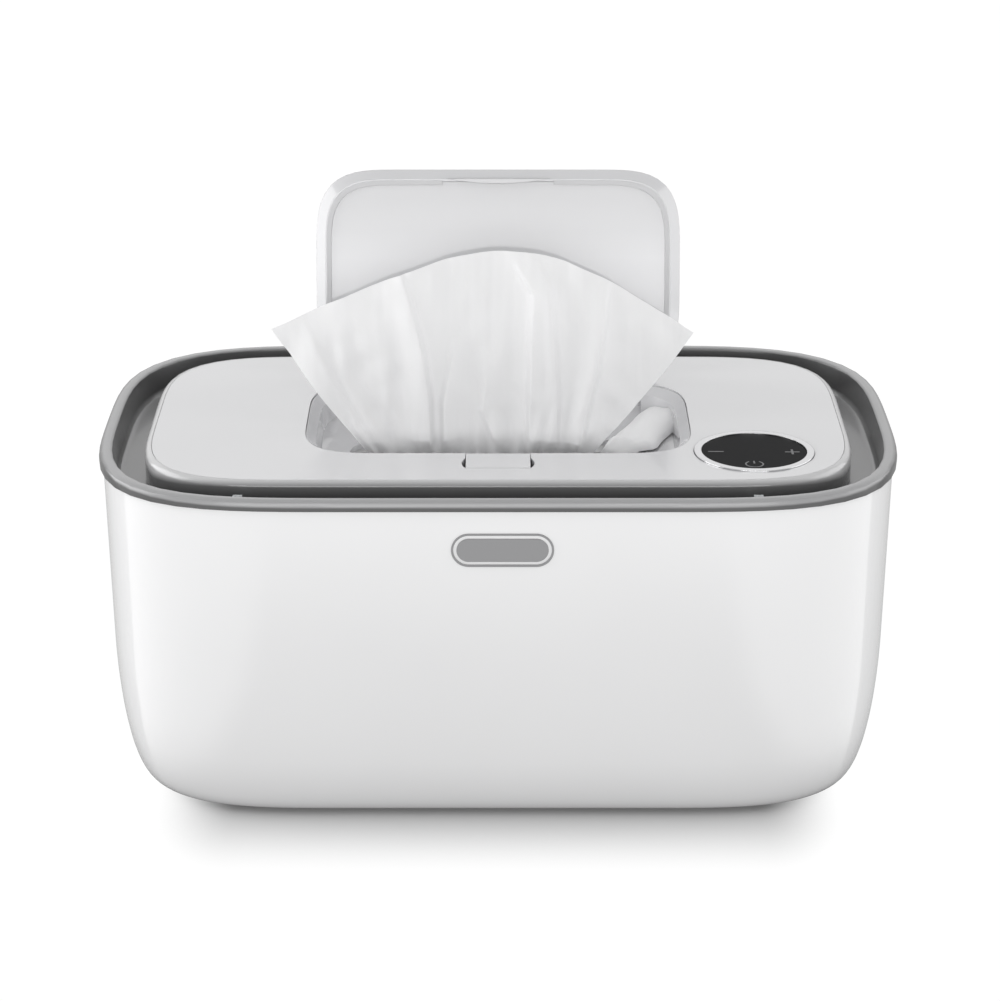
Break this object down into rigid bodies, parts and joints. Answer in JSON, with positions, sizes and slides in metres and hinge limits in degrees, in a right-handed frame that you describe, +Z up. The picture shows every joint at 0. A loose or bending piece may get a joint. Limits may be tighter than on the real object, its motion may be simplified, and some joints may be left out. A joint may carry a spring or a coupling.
{
  "type": "baby wipe warmer",
  "caption": "Countertop baby wipe warmer: white tub with a grey rim, hinged lid with a dispensing well and sprung flip lid, press latch, touch controls and a wipe drawn up",
  "frame": {"origin": "on the table under the middle of the rim", "axes": "+X to the right across the long side as the user faces it, -Y towards the user, +Z up"},
  "size_m": [0.245, 0.151, 0.1706],
  "materials": {
    "shell_white": "glossy",
    "rim_grey": "satin",
    "badge_grey": "satin",
    "clear_silicone": "satin",
    "tank_white": "satin",
    "aluminium": "satin",
    "heater_film": "satin",
    "felt_grey": "matte",
    "plastic_grey": "satin",
    "steel": "satin",
    "black_plastic": "matte",
    "fuse_body": "matte",
    "board_green": "satin",
    "capacitor": "satin",
    "connector_ivory": "matte",
    "rubber_black": "matte",
    "lead_black": "matte",
    "lead_red": "matte",
    "lead_yellow": "matte",
    "lead_grey": "matte",
    "lid_white": "glossy",
    "seal_grey": "matte",
    "lens_black": "glossy",
    "bezel_chrome": "polished",
    "wipe_cloth": "matte"
  },
  "bodies": {
    "base": {"outer_shell": "shell_white", "rim_deck": "rim_grey", "badge_plate": "badge_grey", "lid_bumpers": "clear_silicone", "wipe_tank": "tank_white", "heat_spreader": "aluminium", "heater_film": "heater_film", "insulation_pad": "felt_grey", "heater_clamp": "plastic_grey", "clamp_screws": "steel", "thermistor": "black_plastic", "thermal_fuse": "fuse_body", "control_board": "board_green", "board_capacitor": "capacitor", "board_chips": "black_plastic", "board_connectors": "connector_ivory", "board_screws": "steel", "power_socket": "black_plastic", "base_plate": "plastic_grey", "base_screws": "steel", "rubber_feet": "rubber_black", "socket_lead": "lead_black", "fuse_lead": "lead_red", "sensor_lead": "lead_yellow", "lid_feed_lead": "lead_grey", "lid_hinge_pins": "steel"},
    "main_lid": {"lid_frame": "lid_white", "lid_top_panel": "lid_white", "dispenser_tray": "lid_white", "dispenser_seal": "seal_grey", "lid_liner": "tank_white", "lid_gasket": "seal_grey", "lid_screws": "steel", "touch_lens": "lens_black", "touch_bezel": "bezel_chrome", "touch_board": "board_green", "touch_lead": "lead_grey", "flip_hinge_pin": "steel", "flip_spring": "steel", "latch_spring": "steel"},
    "flip_lid": {"flip_cover": "lid_white", "flip_liner": "tank_white", "flip_seal": "seal_grey"},
    "latch": {"latch_button": "lid_white"},
    "wipe": {"wipe": "wipe_cloth"}
  },
  "joints": [
    {"name": "main_lid_hinge", "type": "hinge", "parent": "base", "child": "main_lid", "pos_m": [0, 0.0665, 0.1025], "axis": [-1, 0, 0], "range_deg": [0, 95]},
    {"name": "flip_lid_hinge", "type": "hinge", "parent": "main_lid", "child": "flip_lid", "pos_m": [0, 0.0366, 0.1032], "axis": [1, 0, 0], "range_deg": [0, 105], "stiffness_Nm_per_rad": 0.01, "springref_deg": -45.84, "deforming": ["wipe", "flip_spring"]},
    {"name": "latch_press", "type": "slide", "parent": "main_lid", "child": "latch", "axis": [0, 0, -1], "range_m": [0, 0.0015], "stiffness_N_per_m": 300, "springref_m": -0.001, "deforming": ["latch_spring"]},
    {"name": "wipe_pull", "type": "slide", "parent": "main_lid", "child": "wipe", "axis": [0, 0, 1], "range_m": [0, 0.04]}
  ]
}
